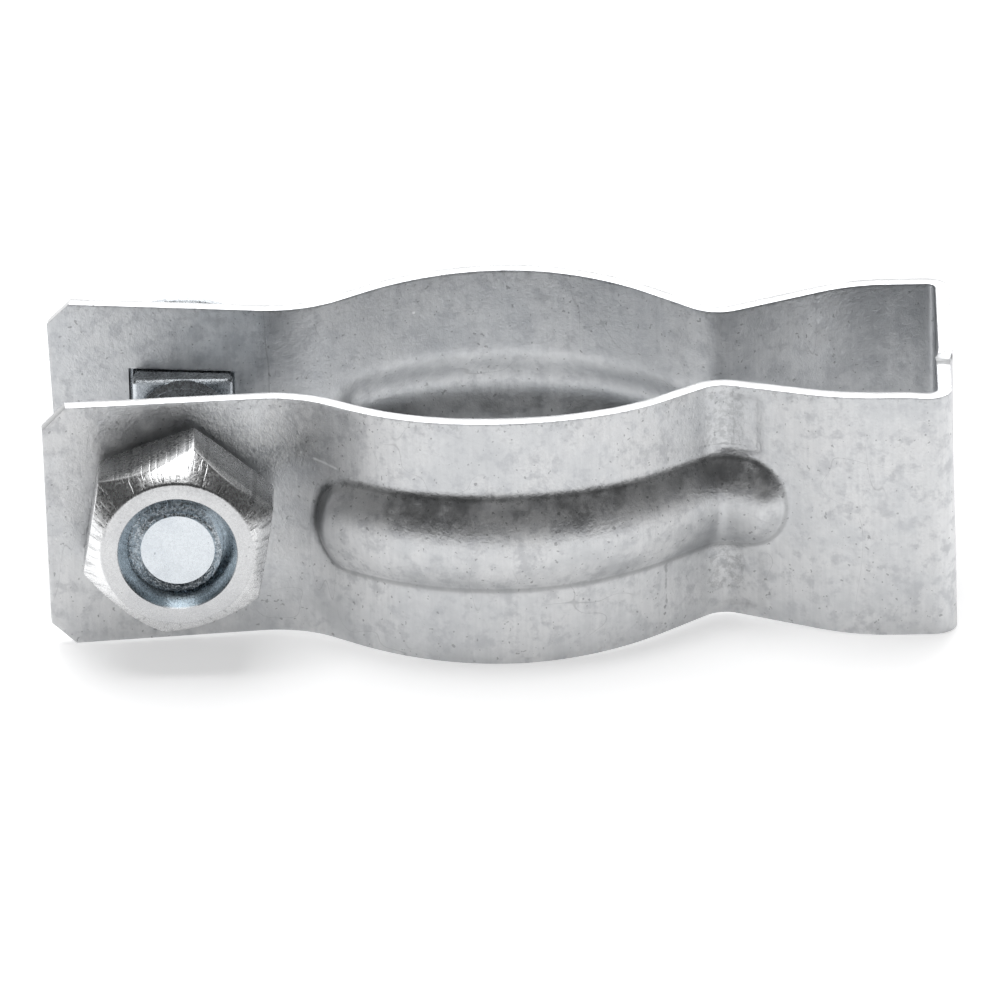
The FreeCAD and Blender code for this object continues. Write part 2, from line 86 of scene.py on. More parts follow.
def modify(obj, kind, **settings):
    pick(obj)
    modifier = obj.modifiers.new(kind.title(), kind)
    for key, setting in settings.items():
        setattr(modifier, key, setting)
    bpy.ops.object.modifier_apply(modifier=modifier.name)


def combine(obj, other, operation):
    modify(obj, "BOOLEAN", object=other, operation=operation, solver="EXACT")
    bpy.data.objects.remove(other)


def roundEdges(obj, width, segments, degrees):
    modify(obj, "BEVEL", width=width, segments=segments, limit_method="ANGLE",
           angle_limit=math.radians(degrees))


def editAll(obj):
    pick(obj)
    bpy.ops.object.mode_set(mode="EDIT")
    bpy.ops.mesh.select_all(action="SELECT")


def leaveEdit():
    bpy.ops.object.mode_set(mode="OBJECT")


def cutAway(obj, place, normal, fill=False):  # keeps what lies behind the plane
    editAll(obj)
    bpy.ops.mesh.bisect(plane_co=place, plane_no=normal, use_fill=fill, clear_outer=True,
                        threshold=near["plane"])
    leaveEdit()


def bakePlace(obj):
    pick(obj)
    bpy.ops.object.transform_apply(location=True, rotation=True, scale=True)


def smooth(obj, degrees):
    pick(obj)
    bpy.ops.object.shade_smooth_by_angle(angle=math.radians(degrees))


def spun(name, points, steps=72):  # points are (radius, height), turned about Z
    made = profileLine(name, points)
    editAll(made)
    bpy.ops.mesh.spin(steps=steps, angle=2 * math.pi, center=(0, 0, 0), axis=(0, 0, 1))
    bpy.ops.mesh.select_all(action="SELECT")
    bpy.ops.mesh.remove_doubles(threshold=near["turned"])
    bpy.ops.mesh.normals_make_consistent(inside=False)
    leaveEdit()
    return made


def toBoltAxis(obj):  # from the Z axis to the bolt's, with +Z turned to -Y
    toAxis = Matrix.Translation((boltAxisX, 0, boltAxisZ))
    obj.matrix_world = toAxis @ Matrix.Rotation(math.pi / 2, 4, "X")
    bakePlace(obj)


def smoothStep(low, high, number):
    share = min(max((number - low) / (high - low), 0), 1)
    return share * share * (3 - 2 * share)


# The strap's line, seen from above. Each leg is worked out with "out" measured away from
# the middle plane, along the outside of the sheet, from the tab to the middle of the base.

strap = dict(
    width=16.3 * mm, thickness=0.88 * mm, tabReach=28.5 * mm, baseReach=28.25 * mm,
    tabGap=7.66 * mm, seatGap=11.35 * mm, tabCorner=1.5 * mm,
    waistRadius=6.5 * mm, seatRadius=15.88 * mm, neckRadius=1.75 * mm,
    shoulderRadius=12.48 * mm, foldRadius=1.48 * mm,
    tabSlope=-5.8, waistSlope=34.8, neckSlope=-39.9, riseSlope=22.6,
    neckStraight=3.3 * mm, shoulderStraight=2.59 * mm,
    boltHole=7.0 * mm, squareHole=6.7 * mm, baseHole=6.9 * mm, holeSides=48,
    step=0.1 * mm,          # along the bends
    widths=(16.05, 15.8, 16.3, 15.5, 16.15, 16.15),  # mm: tab, waist, seat, neck, shoulder, base
    frontTrim=0.24 * mm, frontTilt=0.8,   # how far the shears cut into each tab, halfway up
    backTrim=0.32 * mm, backTilt=2.2,     # and how they leaned, in degrees
    cellsAlong=480, cellsAcross=86,
    edgeRound=0.09 * mm, edgeSteps=2, edgeAngle=50, smoothBelow=35,  # degrees
    outerSkin=0.3, innerSkin=0.5,  # depths in the sheet, as shares of its thickness
)


def along(degrees):
    return Vector((math.cos(math.radians(degrees)), math.sin(math.radians(degrees))))


def outOf(degrees):
    return Vector((-math.sin(math.radians(degrees)), math.cos(math.radians(degrees))))


def crossing(point, slope, other, otherSlope):
    side = outOf(otherSlope)
    return point + along(slope) * ((other - point).dot(side) / along(slope).dot(side))


def legBends(size):  # centre, radius, slopes and whether it wraps the inside, for each bend
    tab, waistTo = size["tabSlope"], size["waistSlope"]
    neckFrom, rise = size["neckSlope"], size["riseSlope"]
    tabEnd = Vector((-size["tabReach"], size["tabGap"])) + outOf(tab) * size["thickness"]
    seat = Vector((0, size["seatGap"] + size["thickness"] - size["seatRadius"]))
    waist = crossing(tabEnd + outOf(tab) * size["waistRadius"], tab,
                     seat + outOf(waistTo) * (size["seatRadius"] + size["waistRadius"]), waistTo)
    neck = (seat + outOf(neckFrom) * (size["seatRadius"] + size["neckRadius"])
            + along(neckFrom) * size["neckStraight"])
    foldX = size["baseReach"] - size["foldRadius"]
    shoulder = crossing(Vector((foldX - size["shoulderStraight"], 0)), 90,
                        neck - outOf(rise) * (size["neckRadius"] + size["shoulderRadius"]), rise)
    fold = Vector((foldX, shoulder.y + size["shoulderRadius"] - size["foldRadius"]))
    return tabEnd, [
        (waist, size["waistRadius"], tab, waistTo, False),
        (seat, size["seatRadius"], waistTo, neckFrom, True),
        (neck, size["neckRadius"], neckFrom, rise, False),
        (shoulder, size["shoulderRadius"], rise, 0, True),
        (fold, size["foldRadius"], 0, -90, True),
    ]


def legPoints(size):  # points of the leg's line, and how far along it each bend starts and ends
    tabEnd, bends = legBends(size)
    points, marks = [tabEnd], []
    length = 0
    for centre, radius, start, finish, wraps in bends:
        steps = math.ceil(radius * abs(math.radians(finish - start)) / size["step"])
        for number in range(steps + 1):
            slope = start + (finish - start) * number / steps
            points.append(centre + outOf(slope) * (radius if wraps else -radius))
            length += (points[-1] - points[-2]).length
            if number in (0, steps):
                marks.append(length)
    points.append(Vector((size["baseReach"], 0)))
    marks.append(length + points[-2].y)
    return points, marks


linePoints, bendMarks = legPoints(strap)
legLength = bendMarks[-1]
stripLength = 2 * legLength
waistStart, waistEnd, seatStart, seatEnd, neckStart, neckEnd, _, shoulderEnd = bendMarks[:8]
neckMiddle = (neckStart + neckEnd) / 2
widthStations = [0, (waistStart + waistEnd) / 2, (seatStart + seatEnd) / 2, neckMiddle,
                 shoulderEnd, legLength]
tabEndX = linePoints[0].x
print(f"strap line: {stripLength / mm:.1f} mm")


def fromTab(length):  # from a place on the whole strip to the nearer tab's end
    return min(length, stripLength - length)


def widthAt(length):
    for number in range(len(widthStations) - 1):
        low, high = widthStations[number:number + 2]
        if length <= high:
            share = smoothStep(low, high, length)
            return strap["widths"][number] * (1 - share) + strap["widths"][number + 1] * share
    return strap["widths"][-1]


def makeStrapLine():  # from the front tab, round the base, to the back tab
    curve = bpy.data.curves.new("strapLine", "CURVE")
    curve.dimensions = "2D"
    front = [(point.x, -point.y) for point in linePoints]
    back = [(point.x, point.y) for point in reversed(linePoints[:-1])]
    spline = curve.splines.new("POLY")
    spline.points.add(len(front) + len(back) - 1)
    length = 0
    before = Vector(front[0])
    for point, place in zip(spline.points, front + back):
        length += (Vector(place) - before).length
        before = Vector(place)
        point.co = (*place, 0, 1)
        point.radius = widthAt(fromTab(length)) * mm / strap["width"]
    made = bpy.data.objects.new("strapLine", curve)
    bpy.context.collection.objects.link(made)
    return made


# The ribs, pressed out of the flat blank before it is bent

rib = dict(
    width=6.3 * mm, height=1.26 * mm,
    start=3.1 * mm,          # before the seat's bend
    finish=4.75 * mm,        # past the middle of the neck
    startWall=1.5 * mm, finishWall=1.7 * mm,
    startCurve=4.6 * mm, finishCurve=3.5 * mm,
    foot=0.018,              # softness of the foot, as a share of the dome
    footReach=1.25,          # how far the softened foot runs, as a share of half the width
)
hollow = dict(               # behind the rib, its lip drawn softly
    width=5.7 * mm, height=1.05 * mm, wall=2.6 * mm,
    startInset=0.5 * mm, finishInset=0.8 * mm,  # from the rib's ends
    past=1 * mm,             # how far beyond the rib's ends it shapes the inside
    reach=0.75,              # and how far to each side, as a share of the rib's width
)
dies = dict(                 # marks of the dies beside the neck, on the outside of the sheet
    depth=0.08 * mm, before=0.2 * mm, after=2.9 * mm, lowEdge=3.7 * mm, highEdge=7.4 * mm,
    soft=0.3 * mm,
)


def ribHeight(length, across):  # 0 on the flat sheet to 1 on the crest
    half = rib["width"] / 2
    aside = abs(across)
    if aside >= half * rib["footReach"]:
        return 0
    inside = min(aside, half)
    startBulge = rib["startCurve"] - math.sqrt(rib["startCurve"] ** 2 - inside ** 2)
    finishBulge = rib["finishCurve"] - math.sqrt(rib["finishCurve"] ** 2 - inside ** 2)
    fromStart = length - (seatStart - rib["start"]) - startBulge
    fromFinish = neckMiddle + rib["finish"] - finishBulge - length
    dome = 1 - (aside / half) ** 2
    crown = (dome + math.sqrt(dome ** 2 + rib["foot"])) / 2
    fade = 1 - smoothStep(half, half * rib["footReach"], aside)
    ends = smoothStep(0, rib["startWall"], fromStart) * smoothStep(0, rib["finishWall"], fromFinish)
    return min(crown * fade * ends, 1)


def hollowDepth(length, across):  # 0 to 1, on the inside of the sheet
    half = hollow["width"] / 2
    aside = min(abs(across) / half, 1)
    fromStart = length - (seatStart - rib["start"]) - hollow["startInset"]
    fromFinish = neckMiddle + rib["finish"] - hollow["finishInset"] - length
    ends = smoothStep(0, hollow["wall"], fromStart) * smoothStep(0, hollow["wall"], fromFinish)
    return 0.5 * (1 + math.cos(math.pi * aside)) * ends


def behindRib(length, across):
    first = seatStart - rib["start"] - hollow["past"]
    last = neckMiddle + rib["finish"] + hollow["past"]
    return abs(across) < rib["width"] * hollow["reach"] and first < length < last


def dieMark(length, across):  # 0 to 1, where a die has pressed the sheet in
    edge = dies["soft"]
    past = length - neckMiddle
    lengthwise = (smoothStep(dies["before"] - edge, dies["before"], past)
                  * (1 - smoothStep(dies["after"] - edge, dies["after"], past)))
    crosswise = (smoothStep(dies["lowEdge"] - edge, dies["lowEdge"], abs(across))
                 * (1 - smoothStep(dies["highEdge"] - edge, dies["highEdge"] + edge, abs(across))))
    return lengthwise * crosswise


def markRib(sheet):  # the group of points that the ribs lift
    group = sheet.vertex_groups.new(name="rib")
    for vertex in sheet.data.vertices:
        lift = ribHeight(fromTab(vertex.co.x), vertex.co.z)
        if lift > 0:
            group.add([vertex.index], lift, "REPLACE")


def markSheet(sheet):  # how deep in the sheet each point lies, and how far its rib lifts it
    deep = sheet.data.attributes.new("deep", "FLOAT", "POINT")
    lifted = sheet.data.attributes.new("lifted", "FLOAT", "POINT")
    for vertex in sheet.data.vertices:
        lift = ribHeight(fromTab(vertex.co.x), vertex.co.z)
        lifted.data[vertex.index].value = lift
        level = (vertex.co.y + lift * rib["height"]) / strap["thickness"]
        deep.data[vertex.index].value = min(max(level, 0), 1)


def punchHoles(sheet):
    boltAlong = (boltAxisX - tabEndX) / math.cos(math.radians(strap["tabSlope"]))
    boltUp = boltAxisZ - strap["width"] / 2
    for place, up, size, corners in (
        (boltAlong, boltUp, strap["boltHole"] / 2, strap["holeSides"]),
        (stripLength / 2, 0, strap["baseHole"] / 2, strap["holeSides"]),
        (stripLength - boltAlong, boltUp, strap["squareHole"] / math.sqrt(2), 4),
    ):
        bpy.ops.mesh.primitive_cylinder_add(
            vertices=corners, radius=size, depth=8 * strap["thickness"],  # past both faces
            location=(place, 0, up), rotation=(math.pi / 2, math.pi / 4, 0))
        punch = newest("punch")
        bakePlace(punch)
        combine(sheet, punch, "DIFFERENCE")


def trimTabs(sheet):
    width = strap["width"]
    for end, inwards, trim, lean in (
        (0, 1, strap["frontTrim"], strap["frontTilt"]),
        (stripLength, -1, strap["backTrim"], strap["backTilt"]),
    ):
        tilt = math.tan(math.radians(lean))
        cutAway(sheet, (end + inwards * trim, 0, 0), (-inwards, 0, -tilt))
        for top in (-1, 1):  # cut corners
            place = end + inwards * (trim + strap["tabCorner"] - top * tilt * width / 2)
            cutAway(sheet, (place, 0, top * width / 2), (-inwards, 0, top))


# The base's upper edge, sheared in two bites that don't meet

bite = dict(
    zone=(3.5 * mm, 1.2 * mm),  # from the base's outside: where it starts and is whole
    drop=0.1 * mm, dropBand=(0.9, 0.985),  # shares of the strap's width
    lean=0.17 * mm, leanCurve=1.6, shift=-2.6 * mm, blend=0.3 * mm,
    burrFrom=-4.1 * mm, burrTo=-2.1 * mm, burr=0.2 * mm, burrScale=0.45 * mm, burrStretch=1.7,
    burrDepth=0.6 * mm, burrFull=0.2 * mm,
)


def shearBase(sheet):
    zoneStart, zoneEnd = (strap["baseReach"] - inset for inset in bite["zone"])
    burrLow, burrHigh = (strap["width"] - bite[key] for key in ("burrDepth", "burrFull"))
    for vertex in sheet.data.vertices:
        place = vertex.co
        onBase = smoothStep(zoneStart, zoneEnd, place.x)
        if onBase == 0:
            continue
        front = 1 - smoothStep(-bite["blend"], bite["blend"], place.y - bite["shift"])
        height = place.z / strap["width"]
        place.x -= bite["lean"] * onBase * front * max(height, 0) ** bite["leanCurve"]
        place.z -= bite["drop"] * onBase * front * smoothStep(*bite["dropBand"], height)
        rough = (smoothStep(bite["burrFrom"], bite["burrFrom"] + bite["blend"], place.y)
                 * (1 - smoothStep(bite["burrTo"], bite["burrTo"] + bite["blend"], place.y))
                 * smoothStep(burrLow, burrHigh, place.z))
        if rough:
            place.z -= bite["burr"] * rough * abs(noise.noise(place / bite["burrScale"]))
            finer = place / bite["burrScale"] * bite["burrStretch"]
            place.x -= bite["burr"] * rough * abs(noise.noise(finer))


def makeStrap():
    clearSelection()
    bpy.ops.mesh.primitive_grid_add(x_subdivisions=strap["cellsAlong"],
                                    y_subdivisions=strap["cellsAcross"], size=1, calc_uvs=True)
    sheet = newest("strapSheet")
    sheet.scale = (stripLength, strap["width"], 1)
    sheet.rotation_euler = (math.pi / 2, 0, 0)
    sheet.location = (stripLength / 2, 0, 0)
    bakePlace(sheet)
    markRib(sheet)
    trimTabs(sheet)
    modify(sheet, "DISPLACE", vertex_group="rib", strength=rib["height"], mid_level=0,
           direction="NORMAL")
    modify(sheet, "SOLIDIFY", thickness=strap["thickness"], offset=-1, use_even_offset=True,
           use_quality_normals=True)
    punchHoles(sheet)
    roundEdges(sheet, strap["edgeRound"], strap["edgeSteps"], strap["edgeAngle"])
    markSheet(sheet)
    deep = sheet.data.attributes["deep"].data
    for vertex in sheet.data.vertices:  # the dies bite on the outside alone
        length = fromTab(vertex.co.x)
        level = deep[vertex.index].value
        if level < strap["outerSkin"]:
            vertex.co.y += dies["depth"] * dieMark(length, vertex.co.z)
        elif level > strap["innerSkin"] and behindRib(length, vertex.co.z):
            lift = hollow["height"] * hollowDepth(length, vertex.co.z)
            vertex.co.y = strap["thickness"] - lift
            deep[vertex.index].value = 1
    line = makeStrapLine()
    modify(sheet, "CURVE", object=line, deform_axis="POS_X")
    bpy.data.objects.remove(line)
    sheet.location.z = strap["width"] / 2
    bakePlace(sheet)
    shearBase(sheet)
    sheet.vertex_groups.clear()
    smooth(sheet, strap["smoothBelow"])
    return sheet


# Carriage bolt and nut, modelled about Z with the bolt's tip at the top

bolt = dict(
    diameter=6.3 * mm, root=4.95 * mm, pitch=1.27 * mm, turnSteps=56,
    rootFlat=0.1, crestFlat=(0.44, 0.56),  # shares of the pitch
    tipDiameter=4.7 * mm, tipShoulder=5.5 * mm, tipSlope=0.5 * mm, tipRound=0.06 * mm,
    neck=6.3 * mm, neckLength=3.1 * mm, neckRound=0.3 * mm, neckSteps=3, neckAngle=30,
    headDiameter=14.4 * mm, headRim=0.6 * mm, headDome=2.7 * mm, headEdge=0.15 * mm, domeSteps=24,
    spare=1 * mm,            # extra length on a part that is cut to size
    lap=0.5 * mm,            # how far joined parts run into each other
    smoothBelow=28,          # degrees, on the nut too
)
nut = dict(
    flats=11.0 * mm, turned=-10.0, washerFace=9.5 * mm, bevel=52.0, seatBevel=14.0,
    cornerReach=0.6,         # just outside the corners, as a share of the flats
    sink=7.46 * mm, sinkSteep=1.65, clearance=0.04 * mm,
    edgeRound=0.12 * mm, edgeSteps=2, edgeAngle=22, turnedSteps=120, sinkSteps=96,
)
boltTip = -boltTipY
boltHeadTop = -headTopY
headSeat = boltHeadTop + bolt["headRim"] + bolt["headDome"]


def makeThread(name, extra, start, finish):  # every thread here lies on one helix through Z = 0
    pitch = bolt["pitch"]
    root = bolt["root"] / 2 + extra
    crest = bolt["diameter"] / 2 + extra
    turns = math.ceil((finish - start) / pitch) + 2
    first = (math.floor(start / pitch) - 1) * pitch
    crestStart, crestEnd = bolt["crestFlat"]
    profile = [(root, 0), (root, bolt["rootFlat"]), (crest, crestStart), (crest, crestEnd),
               (root, 1 - bolt["rootFlat"]), (root, 1)]
    rod = profileLine(name, [(radius, first + part * pitch) for radius, part in profile])
    modify(rod, "SCREW", axis="Z", angle=2 * math.pi, screw_offset=pitch, iterations=turns,
           steps=bolt["turnSteps"], render_steps=bolt["turnSteps"], use_normal_calculate=True,
           use_merge_vertices=True, merge_threshold=near["thread"])
    editAll(rod)
    bpy.ops.mesh.remove_doubles(threshold=near["thread"])
    leaveEdit()
    cutAway(rod, (0, 0, finish), (0, 0, 1), fill=True)
    cutAway(rod, (0, 0, start), (0, 0, -1), fill=True)
    editAll(rod)
    bpy.ops.mesh.normals_make_consistent(inside=False)
    leaveEdit()
    return rod


def makeBolt():
    radius, tipRadius = bolt["diameter"] / 2, bolt["tipDiameter"] / 2
    shankStart = headSeat + bolt["neckLength"]
    slopeStart = boltTip - bolt["tipSlope"]
    shank = makeThread("carriageBolt", 0, shankStart - bolt["spare"], boltTip + bolt["spare"])
    blank = spun("blank", [
        (0, shankStart - bolt["lap"]),
        (bolt["diameter"], shankStart - bolt["lap"]),
        (bolt["diameter"], slopeStart),
        (radius, slopeStart),
        (bolt["tipShoulder"] / 2, boltTip - bolt["tipSlope"] / 2),
        (tipRadius, boltTip - bolt["tipRound"]),
        (tipRadius - bolt["tipRound"], boltTip),
        (0, boltTip),
    ])
    combine(shank, blank, "INTERSECT")
    neckMiddleZ = headSeat + bolt["neckLength"] / 2 - bolt["lap"] / 2
    bpy.ops.mesh.primitive_cube_add(size=1, location=(0, 0, neckMiddleZ))
    neck = newest("neck")
    neck.scale = (bolt["neck"], bolt["neck"], bolt["neckLength"] + bolt["lap"])
    bakePlace(neck)
    roundEdges(neck, bolt["neckRound"], bolt["neckSteps"], bolt["neckAngle"])
    rise, reach = bolt["headDome"], bolt["headDiameter"] / 2
    domeRadius = (reach ** 2 + rise ** 2) / (2 * rise)
    spread = math.asin(reach / domeRadius)
    rim = headSeat - bolt["headRim"]
    points = [(0, headSeat), (reach - bolt["headEdge"], headSeat),
              (reach, headSeat - bolt["headEdge"])]
    for number in range(bolt["domeSteps"] + 1):
        angle = spread * (1 - number / bolt["domeSteps"])
        height = rim + domeRadius * (math.cos(spread) - math.cos(angle))
        points.append((domeRadius * math.sin(angle), height))
    head = spun("head", points)
    combine(head, neck, "UNION")
    combine(shank, head, "UNION")
    toBoltAxis(shank)
    smooth(shank, bolt["smoothBelow"])
    return shank


def makeNut():
    seat, outer = -nutSeatY, -nutOuterY
    flats = nut["flats"]
    bpy.ops.mesh.primitive_cylinder_add(
        vertices=6, radius=flats / math.sqrt(3), depth=outer - seat + bolt["spare"],
        location=(0, 0, (seat + outer) / 2), rotation=(0, 0, math.radians(nut["turned"])))
    body = newest("hexNut")
    bakePlace(body)
    past = flats * nut["cornerReach"]
    face = nut["washerFace"] / 2
    seatDrop, drop = ((past - face) * math.tan(math.radians(nut[key]))
                      for key in ("seatBevel", "bevel"))
    turned = spun("turned", [
        (0, seat), (face, seat), (past, seat + seatDrop),
        (past, outer - drop), (face, outer), (0, outer),
    ], steps=nut["turnedSteps"])
    combine(body, turned, "INTERSECT")
    roundEdges(body, nut["edgeRound"], nut["edgeSteps"], nut["edgeAngle"])
    tap = makeThread("tap", nut["clearance"], seat - bolt["spare"], outer + bolt["spare"])
    combine(body, tap, "DIFFERENCE")
    for height, inwards in ((seat, 1), (outer, -1)):
        reach = nut["sink"] / 2
        above = height - inwards * bolt["lap"] * nut["sinkSteep"]
        below = height + inwards * reach * nut["sinkSteep"]
        sink = spun("sink", [(0, above), (reach + bolt["lap"], above), (0, below)],
                    steps=nut["sinkSteps"])
        combine(body, sink, "DIFFERENCE")
    toBoltAxis(body)
    smooth(body, bolt["smoothBelow"])
    return body


# Node helpers

def feed(tree, socket, given):
    if isinstance(given, bpy.types.NodeSocket):
        tree.links.new(given, socket)
    else:
        socket.default_value = given


def put(tree, kind, sockets=None, **settings):  # a node, its sockets linked or set
    made = tree.nodes.new("ShaderNode" + kind)
    for key, setting in settings.items():
        setattr(made, key, setting)
    for name, given in (sockets or {}).items():
        feed(tree, made.inputs[name], given)
    return made


def maths(tree, operation, first, second=0.0):
    return put(tree, "Math", {0: first, 1: second}, operation=operation).outputs[0]


def times(tree, total, *factors):
    for factor in factors:
        total = maths(tree, "MULTIPLY", total, factor)
    return total


def most(tree, masks):
    found, *others = masks
    for mask in others:
        found = maths(tree, "MAXIMUM", found, mask)
    return found


def ramp(tree, number, low, high, toLow=0.0, toHigh=1.0):
    made = put(tree, "MapRange", {"Value": number, "From Min": low, "From Max": high,
                                  "To Min": toLow, "To Max": toHigh},
               interpolation_type="SMOOTHSTEP")
    return made.outputs["Result"]


def fall(tree, number, low, high):
    return ramp(tree, number, low, high, 1.0, 0.0)


def band(tree, number, low, lowFull, highFull, high):
    return times(tree, ramp(tree, number, low, lowFull), fall(tree, number, highFull, high))


def tint(tree, amount, under, over, how="MIX"):
    made = put(tree, "Mix", {0: amount, 6: under, 7: over}, data_type="RGBA", blend_type=how)
    return made.outputs[2]


def clouds(tree, place, scale, detail=3.0, rough=0.5, twist=0.0):
    made = put(tree, "TexNoise", {"Vector": place, "Scale": scale, "Detail": detail,
                                  "Roughness": rough, "Distortion": twist})
    return made.outputs["Fac"]


def stretched(tree, place, scale, turned=(0.0, 0.0, 0.0)):
    made = put(tree, "Mapping", {"Vector": place, "Scale": scale, "Rotation": turned})
    return made.outputs["Vector"]


def newGroup(name, inputs, outputs):
    group = bpy.data.node_groups.new(name, "ShaderNodeTree")
    for way, sockets in (("INPUT", inputs), ("OUTPUT", outputs)):
        for title, kind in sockets:
            group.interface.new_socket(title, in_out=way, socket_type="NodeSocket" + kind)
    given, wanted = group.nodes.new("NodeGroupInput"), group.nodes.new("NodeGroupOutput")
    return group, given.outputs, wanted.inputs


def useGroup(tree, group, sockets):
    made = tree.nodes.new("ShaderNodeGroup")
    made.node_tree = group
    for name, given in sockets.items():
        feed(tree, made.inputs[name], given)
    return made.outputs


# Finishes that more than one piece wears. Places are in millimetres. A cloud is named by its
# scale, octaves and roughness, and edges are where a mask starts and is whole.

zincLook = dict(
    broad=(0.17, 1, 0.55), middle=(0.75, 2, 0.65), broadShare=0.6, cloudEdges=(0.36, 0.64),
    patches=(1.0, 3, 0.68), patchEdges=(0.46, 0.68),
    grain=(5.5, 1, 0.7),
    specks=(3.4, 1, 0.5), speckLimit=0.73, speckSoft=0.03,
    gather=(0.5, 0), gatherEdges=(0.4, 0.7), gatherBy=0.05,  # specks come in crowds
    streaks=(3.6, 1, 0.6), streakStretch=(1, 1, 0.07), streakEdges=(0.35, 0.68),
    bump=0.02 * mm,
)


def makeZincGrain():
    look = zincLook
    group, given, wanted = newGroup(
        "zincGrain", [("Place", "Vector"), ("Speck Share", "Float")],
        [("Cloud", "Float"), ("Patches", "Float"), ("Grain", "Float"), ("Specks", "Float"),
         ("Streaks", "Float")])
    place = given["Place"]
    broad = times(group, clouds(group, place, *look["broad"]), look["broadShare"])
    middle = times(group, clouds(group, place, *look["middle"]), 1 - look["broadShare"])
    both = maths(group, "ADD", broad, middle)
    feed(group, wanted["Cloud"], ramp(group, both, *look["cloudEdges"]))
    patches = clouds(group, place, *look["patches"])
    feed(group, wanted["Patches"], ramp(group, patches, *look["patchEdges"]))
    feed(group, wanted["Grain"], clouds(group, place, *look["grain"]))
    gather = ramp(group, clouds(group, place, *look["gather"]), *look["gatherEdges"],
                  look["gatherBy"], 0.0)
    limit = maths(group, "SUBTRACT", look["speckLimit"], given["Speck Share"])
    over = maths(group, "SUBTRACT", clouds(group, place, *look["specks"]),
                 maths(group, "ADD", limit, gather))
    feed(group, wanted["Specks"], ramp(group, over, 0.0, look["speckSoft"]))
    lines = clouds(group, stretched(group, place, look["streakStretch"]), *look["streaks"])
    feed(group, wanted["Streaks"], ramp(group, lines, *look["streakEdges"]))
    return group


scratchLook = dict(
    ways=(((0.9, 0.9, 0.12), (0.3, 0.5, 0.2)), ((0.3, 0.7, 0.55), (0.0, 0.9, 0.4))),  # scale, turn
    waves=(0.55, 1, 0.4), hair=0.004, spots=(0.41, 0), spotEdges=(0.6, 0.68),
)


def makeScratches():
    look = scratchLook
    group, given, wanted = newGroup("scratches", [("Place", "Vector"), ("Share", "Float")],
                                    [("Mask", "Float")])
    masks = []
    for scale, turned in look["ways"]:
        place = stretched(group, given["Place"], scale, turned)
        level = maths(group, "SUBTRACT", clouds(group, place, *look["waves"]), 0.5)
        thin = fall(group, maths(group, "ABSOLUTE", level), 0.0, look["hair"])
        here = ramp(group, clouds(group, place, *look["spots"]), *look["spotEdges"])
        masks.append(times(group, thin, here))
    feed(group, wanted["Mask"], times(group, most(group, masks), given["Share"]))
    return group


def makePlacedMark():  # a ragged box at one place of the flat sheet
    group, given, wanted = newGroup(
        "placedMark", [("Flat Place", "Vector"), ("Wobble", "Float"), ("Centre", "Vector"),
                       ("Half Length", "Float"), ("Half Height", "Float"), ("Turn", "Float"),
                       ("Soft", "Float"), ("Ragged", "Float")],
        [("Mask", "Float")])
    aside = put(group, "VectorMath", {0: given["Flat Place"], 1: given["Centre"]},
                operation="SUBTRACT")
    turned = put(group, "VectorRotate", {"Vector": aside.outputs[0], "Angle": given["Turn"]},
                 rotation_type="Z_AXIS")
    parts = put(group, "SeparateXYZ", {0: turned.outputs[0]})
    wobble = times(group, maths(group, "SUBTRACT", given["Wobble"], 0.5), given["Ragged"])
    shares = []
    for axis, half in ((0, "Half Length"), (1, "Half Height")):
        away = maths(group, "ADD", maths(group, "ABSOLUTE", parts.outputs[axis]), wobble)
        past = maths(group, "SUBTRACT", away, given[half])
        shares.append(fall(group, maths(group, "DIVIDE", past, given["Soft"]), -1.0, 0.0))
    feed(group, wanted["Mask"], times(group, *shares))
    return group


def newMaterial(name):
    material = bpy.data.materials.new(name)
    material.use_nodes = True
    tree = material.node_tree
    return material, tree, tree.nodes["Principled BSDF"]


def inMillimetres(tree):
    place = put(tree, "TexCoord").outputs["Object"]
    larger = put(tree, "VectorMath", {0: place, 1: (1 / mm, 1 / mm, 1 / mm)}, operation="MULTIPLY")
    return larger.outputs[0]


def wornMasks(tree, place, look, grainGroup, scratchGroup):
    grain = useGroup(tree, grainGroup, {"Place": place, "Speck Share": look["speckShare"]})
    scratches = useGroup(tree, scratchGroup, {"Place": place, "Share": look["scratchShare"]})
    return grain, scratches["Mask"]


def aroundBolt(tree, place):  # X, Y and Z from the bolt's axis, and the distance from it
    fromAxis = put(tree, "VectorMath", {0: place, 1: (boltAxisX / mm, 0, boltAxisZ / mm)},
                   operation="SUBTRACT")
    x, y, z = put(tree, "SeparateXYZ", {0: fromAxis.outputs[0]}).outputs
    ring = put(tree, "CombineXYZ", {0: x, 2: z})
    radius = put(tree, "VectorMath", {0: ring.outputs[0]}, operation="LENGTH")
    return x, y, z, radius.outputs["Value"]


def layered(tree, colour, look, layers):  # each layer is a mask, its share's name and its colour's
    for mask, share, name in layers:
        colour = tint(tree, times(tree, mask, look["shares"][share]), colour, look[name])
    return colour


def coat(tree, shader, look, colour, uneven, heights):  # heights are bumps and how much of each
    feed(tree, shader.inputs["Base Color"], colour)
    rough = ramp(tree, uneven, *look["unevenEdges"], look["smoothest"], look["roughest"])
    feed(tree, shader.inputs["Roughness"], rough)
    shader.inputs["Metallic"].default_value = 1.0
    (first, firstShare), (second, secondShare) = heights
    total = maths(tree, "ADD", times(tree, first, firstShare), times(tree, second, secondShare))
    bump = put(tree, "Bump", {"Strength": 1.0, "Distance": zincLook["bump"], "Height": total})
    feed(tree, shader.inputs["Normal"], bump.outputs["Normal"])


def alongAt(place):  # how far along a leg's line its X reaches a place, in metres
    length = 0
    for before, point in zip(linePoints, linePoints[1:]):
        if point.x > place:
            break
        length += (point - before).length
    return length


# The sheet: hot-dipped, handled and pressed

